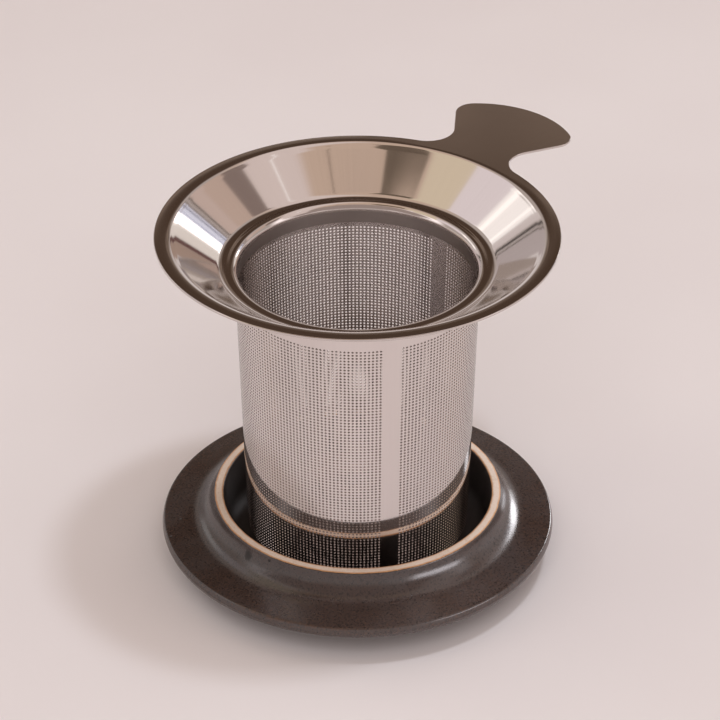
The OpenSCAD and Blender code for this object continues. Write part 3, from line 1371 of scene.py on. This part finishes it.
    def build_wall(self, steel: bpy.types.Material) -> list[bpy.types.Object]:
        """Rolls the wall's panels and lays its weld.

        Args:
            steel: the finish.

        Returns:
            The panels and the weld.
        """
        tree = self.panel_tree()
        roll_r = (self.foot_r + self.top_r) / 2
        pitch = FULL_TURN * roll_r / self.pitches_round
        sector = FULL_TURN / self.panels
        lowest = self.first_row_z - (self.rows - 1) * self.row_pitch
        values = {
            "Columns": self.panel_columns, "Rows": self.rows, "Column Pitch": pitch,
            "Row Pitch": self.row_pitch, "Hole Diameter": self.hole_d, "Sheet Thickness": self.sheet_t,
            "Side Border": (sector * roll_r - self.panel_columns * pitch) / 2,
            "Top Border": self.top_z - self.first_row_z - self.row_pitch / 2,
            "Foot Border": lowest - self.row_pitch / 2 - self.foot_z, "Border Steps": self.margin_steps,
            "Foot Radius": self.foot_r, "Slope": self.slope, "Foot Height": self.foot_z,
            "Roll Radius": roll_r, "Finish": steel}
        pieces = []
        for number in range(self.panels):
            values["Middle Angle"] = math.radians(self.seam_deg) + (number + 0.5) * sector
            mesh = grown(f"basket_panel_{number + 1}", tree, values)
            shade(mesh, self.wall_normal)
            pieces.append(piece(mesh, Body.INFUSER, ["basket_wall"]))
        height = self.top_z - self.foot_z - 2 * self.bead_end
        bead = {"Spots": int(height / self.bead_step), "Spacing": self.bead_step, "Width": self.bead_w,
                "Depth": self.sheet_t + self.bead_h, "Foot Radius": self.foot_r + self.sheet_t / 2,
                "Slope": self.slope, "Foot Height": self.foot_z + self.bead_end,
                "Angle": math.radians(self.seam_deg), "Seed": self.bead_seed, "Finish": steel}
        mesh = grown("seam_weld", self.bead_tree(), bead)
        smooth(mesh)
        pieces.append(piece(mesh, Body.INFUSER))
        return pieces

    def build_floor(self, turn: bpy.types.NodeTree, steel: bpy.types.Material) -> bpy.types.Object:
        """Makes the floor: its perforated disc, and the bend and lip round it.

        Args:
            turn: the tree that turns a section.
            steel: the finish.

        Returns:
            The floor.
        """
        lip_r = self.foot_r - self.weld_gap
        disc_r = lip_r - self.floor_bend - self.floor_t
        face = [Corner(disc_r, self.foot_z), Corner(lip_r, self.foot_z, self.floor_bend),
                Corner(lip_r, self.foot_z + self.floor_lip, self.lip_round)]
        inner = shifted(face, self.floor_t)[::-1]
        inner[0] = Corner(inner[0].r, face[-1].z, self.lip_round)
        inner[-1] = Corner(disc_r, self.foot_z + self.floor_t)
        section = Section.of(face + inner)
        values = {"Segments": self.floor_segments, "Unevenness": 0.0, "Unevenness Size": 1.0, "Seed": 0,
                  "Finish": steel}
        cup = grown("cup_lip", turn, values, section.mesh("cup_section"))
        values = {"Disc Radius": disc_r, "Border": self.floor_border, "Segments": self.floor_segments,
                  "Across": 2 * int(disc_r / self.row_pitch), "Pitch": self.row_pitch,
                  "Hole Diameter": self.hole_d, "Sheet Thickness": self.floor_t, "Height": self.foot_z,
                  "Finish": steel}
        disc = grown("basket_floor_cup", self.disc_tree(), values)
        shade(disc, self.floor_normal)
        smooth(cup)
        piece(cup, Body.INFUSER, ["basket_floor"])
        return piece(disc, Body.INFUSER, ["basket_floor"])


# ---------------------------------------------------------------------------------------------- studio


@dataclass(frozen=True)
class RoomPanel:
    """A soft-edged patch of the room round the object, which its steel and glaze reflect.

    One for the first bounce only is left out where a reflection is itself reflected.
    """

    right_deg: float
    up_deg: float
    turn_deg: float
    width_deg: float
    height_deg: float
    soft_deg: float
    light: Colour
    streaks: float = 0.0
    first_bounce: bool = False


@dataclass(frozen=True)
class Softbox:
    """A flat lamp that faces the object. One kept to a single object is mirrored in it, others aren't."""

    name: str
    right_deg: float
    up_deg: float
    distance: float
    width: float
    height: float
    radiance: float
    colour: Colour = (1.0, 1.0, 1.0)
    only_on: str = ""


@dataclass
class Studio:
    """Camera, table, lamps and the room's soft light, in directions from the camera's line of sight."""

    look_deg: float = 36.0
    camera_out: float = 596.9 * MM
    camera_up: float = 435.65 * MM
    aim_up: float = 55.0 * MM
    aim_right: float = 0.6 * MM
    focal_mm: float = 145.0
    sensor_mm: float = 36.0
    nearest: float = 0.01
    furthest: float = 50.0
    table_side: float = 12.0
    table: Colour = (0.830, 0.785, 0.780)
    table_veil: Colour = (0.805, 0.755, 0.750)
    table_patch: float = 0.12
    table_rough: float = 0.55
    table_gloss: float = 0.2
    horizon: Colour = (0.78, 0.71, 0.69)
    walls: Colour = (0.56, 0.49, 0.45)
    walls_from_deg: tuple[float, float] = (8.0, 22.0)
    ceiling: Colour = (0.70, 0.54, 0.43)
    ceiling_from_deg: tuple[float, float] = (45.0, 65.0)
    streak_size: float = 0.05
    streak_gain: float = 2.4
    second_bounce: float = 2.5
    panels: tuple[RoomPanel, ...] = (
        # The room behind the camera, pale at both sides and dim in the middle.
        RoomPanel(122, 40, 0, 52, 40, 12, (1.60, 1.47, 1.47)),
        RoomPanel(-122, 40, 0, 52, 40, 12, (1.60, 1.47, 1.47)),
        RoomPanel(180, 50, 0, 112, 50, 12, (0.42, 0.34, 0.31)),
        # The dim wall straight ahead, which the flat rim and the tab reflect.
        RoomPanel(3, 33, 0, 36, 30, 10, (0.150, 0.112, 0.088), 0.8),
        RoomPanel(3, 45, 0, 38, 25, 8, (0.090, 0.058, 0.042)),
        RoomPanel(0, 32.2, 0, 26, 7.5, 3.5, (0.085, 0.053, 0.036)),
        # The side with the window, from the ceiling down to the table.
        RoomPanel(88, 61, -132, 23, 70, 5, (0.86, 0.74, 0.70)),
        RoomPanel(134, 76, -149, 0.5, 16, 0.2, (0.22, 0.16, 0.13)),
        RoomPanel(89, 62, -132, 0.7, 20, 0.4, (1.25, 1.20, 1.18)),
        RoomPanel(59, 41, -132, 12, 18, 1.5, (0.66, 0.51, 0.43)),
        RoomPanel(50.7, 34, -133, 8, 18, 1, (0.71, 0.565, 0.50)),
        RoomPanel(69, 49.2, -131, 10, 18, 0.8, (0.30, 0.23, 0.205)),
        RoomPanel(46.8, 30.6, -133, 0.9, 18, 0.3, (0.10, 0.075, 0.07)),
        RoomPanel(44.6, 28.4, -133, 0.7, 18, 0.3, (0.16, 0.12, 0.11)),
        RoomPanel(41.7, 25.3, -133, 6.5, 12, 0.5, (0.95, 0.98, 1.15), first_bounce=True),
        RoomPanel(36.2, 20.3, -133, 7.8, 12, 0.5, (3.4, 3.3, 3.3), first_bounce=True),
        RoomPanel(43.0, 26.6, -133, 0.9, 18, 0.3, (0.20, 0.20, 0.28)),
        RoomPanel(40.2, 24.0, -133, 0.7, 18, 0.3, (0.25, 0.30, 0.50)),
        RoomPanel(31.4, 15.2, -132, 9, 16, 0.6, (0.95, 0.88, 0.82)),
        RoomPanel(27.1, 10.6, -132, 3.3, 16, 0.4, (0.13, 0.055, 0.05)),
        RoomPanel(22.7, 5.7, -131, 9.8, 16, 1, (0.45, 0.33, 0.27)),
        # The side with the curtain.
        RoomPanel(-26, 9.4, 132, 15.5, 18, 1, (0.56, 0.49, 0.48)),
        RoomPanel(-63.1, 44.6, 132, 20.5, 20, 1.5, (0.97, 0.88, 0.90)),
        RoomPanel(-46.6, 30.3, 133, 18.6, 12, 0.8, (1.32, 1.27, 1.24), first_bounce=True),
        RoomPanel(-51, 34.5, 133, 3.0, 12, 1.0, (1.7, 1.6, 1.55), first_bounce=True),
        RoomPanel(-42, 26, 133, 1.5, 12, 0.8, (1.7, 1.65, 1.6), first_bounce=True),
        RoomPanel(-37.5, 21.5, 133, 5.0, 20, 0.6, (0.80, 0.72, 0.70)),
        RoomPanel(-34.2, 18.2, 133, 1.9, 20, 0.3, (0.045, 0.035, 0.035)),
        RoomPanel(-32.0, 15.9, 133, 1.0, 20, 0.3, (0.10, 0.08, 0.08)),
        RoomPanel(-83.2, 58.6, 131, 17.2, 30, 1.2, (0.84, 0.72, 0.55)),
        RoomPanel(-97, 76.0, 128, 15.0, 13.4, 0.3, (0.170, 0.128, 0.096)),
    )
    lamps: tuple[Softbox, ...] = (
        Softbox("overhead_lamp", 84, 76, 1.2, 0.12, 0.12, 60.0, (0.92, 1.0, 1.10)),
        Softbox("table_lamp", 180, 48, 2.0, 1.50, 1.20, 1.8, (1.0, 1.0, 1.02), "table"),
        Softbox("lid_window_lamp", 36, 22, 2.0, 0.38, 0.95, 10.0, (1.0, 0.98, 1.02), "stoneware_lid"),
        Softbox("lid_side_lamp", 122, 9, 2.0, 1.30, 0.56, 5.0, (1.0, 0.95, 1.0), "stoneware_lid"),
    )

    def direction(self, right_deg: float, up_deg: float) -> Vector:
        """Turns two angles into a direction.

        Args:
            right_deg: how far it points to the right of the line of sight.
            up_deg: how far it points up.

        Returns:
            The unit vector.
        """
        a = math.radians(self.look_deg - right_deg)
        e = math.radians(up_deg)
        return Vector((math.cos(a) * math.cos(e), math.sin(a) * math.cos(e), math.sin(e)))

    def build(self) -> None:
        """Sets up the whole studio."""
        self.build_camera()
        self.build_table()
        self.build_room()
        for lamp in self.lamps:
            self.build_lamp(lamp)
        scene = bpy.context.scene
        scene.view_settings.view_transform = "Standard"
        LOG.info("studio: %d lamps, %d panels", len(self.lamps), len(self.panels))

    def build_camera(self) -> None:
        """Puts the camera at the photograph's angle."""
        data = bpy.data.cameras.new("camera")
        data.lens = self.focal_mm
        data.sensor_width = self.sensor_mm
        data.clip_start = self.nearest
        data.clip_end = self.furthest
        camera = placed("camera", data)
        ahead = self.direction(0, 0)
        aim = self.direction(90, 0) * self.aim_right + Vector((0, 0, self.aim_up))
        camera.location = -ahead * self.camera_out + Vector((0, 0, self.camera_up))
        camera.rotation_mode = "QUATERNION"
        camera.rotation_quaternion = (aim - camera.location).to_track_quat("-Z", "Y")
        bpy.context.scene.camera = camera

    def build_table(self) -> None:
        """Lays the plain pale table under the lid."""
        half = self.table_side / 2
        mesh = bpy.data.meshes.new("table")
        corners = [(-half, -half, 0), (half, -half, 0), (half, half, 0), (-half, half, 0)]
        mesh.from_pydata(corners, [], [(0, 1, 2, 3)])
        g = Finish("pale_table")
        veil = g.ramp(g.noise(g.place, self.table_patch, 2.0), 0.3, 0.7)
        mesh.materials.append(g.done({
            "Base Color": g.mix(veil, self.table, self.table_veil), "Roughness": self.table_rough,
            "Specular IOR Level": self.table_gloss}))
        table = placed("table", mesh)

    def build_room(self) -> None:
        """Paints the room's light on the world: pale at table height, walls, a ceiling and the panels."""
        world = bpy.data.worlds.new("room")
        bpy.context.scene.world = world
        world.use_nodes = True
        g = Graph(world.node_tree)
        toward = g.add("ShaderNodeTexCoord").outputs["Generated"]
        up = g.separate(toward)[2]
        light: Value = self.horizon
        for colour, height in ((self.walls, self.walls_from_deg), (self.ceiling, self.ceiling_from_deg)):
            low, high = (math.sin(math.radians(angle)) for angle in height)
            light = g.mix(g.ramp(up, low, high), light, colour)
        streak = g.noise(toward, self.streak_size, 3.0, 0.6)
        # The depth is 2 where a ray reaches the room after one bounce, and 3 or more after others.
        depth = g.add("ShaderNodeLightPath").outputs["Ray Depth"]
        first = g.math("LESS_THAN", depth, self.second_bounce)
        for panel in self.panels:
            shown: Value = panel.light
            if panel.streaks:
                strength = g.ramp(streak, 0.40, 0.65, 0.0, panel.streaks)
                shown = g.mix(strength, panel.light, tuple(self.streak_gain * c for c in panel.light))
            mask: Value = self.panel_mask(g, toward, panel)
            if panel.first_bounce:
                mask = g.product(mask, first)
            light = g.mix(mask, light, shown)
        g.fill(world.node_tree.nodes["Background"], {"Color": light})

    def panel_mask(self, g: Graph, toward: Socket, panel: RoomPanel) -> Socket:
        """How far a direction of the room lies on a panel.

        Args:
            g: the world's graph.
            toward: the direction.
            panel: the panel.

        Returns:
            1 on the panel and 0 off it, with a soft edge.
        """
        ahead = self.direction(panel.right_deg, panel.up_deg)
        level = self.direction(panel.right_deg + 90, 0)
        turn = Quaternion(ahead, -math.radians(panel.turn_deg))
        right = turn @ level
        over = right.cross(ahead)
        forward = g.dot(toward, tuple(ahead))
        mask: Value = g.math("GREATER_THAN", forward, 0.0)
        safe = g.math("MAXIMUM", forward, 0.001)
        for axis, width in ((right, panel.width_deg), (over, panel.height_deg)):
            offset = g.math("ABSOLUTE", g.math("DIVIDE", g.dot(toward, tuple(axis)), safe))
            inner = math.tan(math.radians(width / 2 - panel.soft_deg / 2))
            outer = math.tan(math.radians(width / 2 + panel.soft_deg / 2))
            mask = g.product(mask, g.ramp(offset, inner, outer, 1.0, 0.0))
        return mask

    def build_lamp(self, lamp: Softbox) -> None:
        """Hangs one lamp so that it faces the object.

        Args:
            lamp: the lamp.
        """
        data = bpy.data.lights.new(lamp.name, "AREA")
        data.shape = "RECTANGLE"
        data.size = lamp.width
        data.size_y = lamp.height
        data.energy = lamp.radiance * math.pi * lamp.width * lamp.height
        data.color = lamp.colour
        obj = placed(lamp.name, data)
        toward = self.direction(lamp.right_deg, lamp.up_deg)
        obj.location = toward * lamp.distance
        obj.rotation_mode = "QUATERNION"
        obj.rotation_quaternion = (-toward).to_track_quat("-Z", "Y")
        if lamp.only_on:
            lit = bpy.data.collections.new(f"lit_by_{lamp.name}")
            lit.objects.link(bpy.data.objects[lamp.only_on])
            obj.light_linking.receiver_collection = lit
        else:
            obj.visible_glossy = False


# ---------------------------------------------------------------------------------------------- the model


def main() -> None:
    """Builds the lid, the funnel, the basket and the studio, in that order, from sizes read off the model's
    parts.
    """
    logging.basicConfig(level=logging.INFO, format="%(name)s: %(message)s")
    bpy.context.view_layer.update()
    turn = turned_form_tree()

    lid_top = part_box("lid")[1]
    StonewareLid(height=lid_top.z, flange_r=lid_top.x).build(turn, Glaze())

    funnel_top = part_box("funnel")[1]
    polished = Steel("polished_funnel_steel", Grain.RADIAL)
    Funnel(rim_z=funnel_top.z, tab_end=funnel_top.x).build(polished)

    wall_low, wall_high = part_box("basket_wall")
    basket = Basket(foot_z=wall_low.z, top_z=wall_high.z)
    sheet = Steel("perforated_sheet_steel", Grain.UPRIGHT, colour=(0.745, 0.690, 0.670), roughness=0.02)
    basket.build_wall(sheet.material())
    floor = Steel("perforated_floor_steel", Grain.AROUND, roughness=0.22)
    basket.build_floor(turn, floor.material())

    Studio().build()


if __name__ == "__main__":
    main()
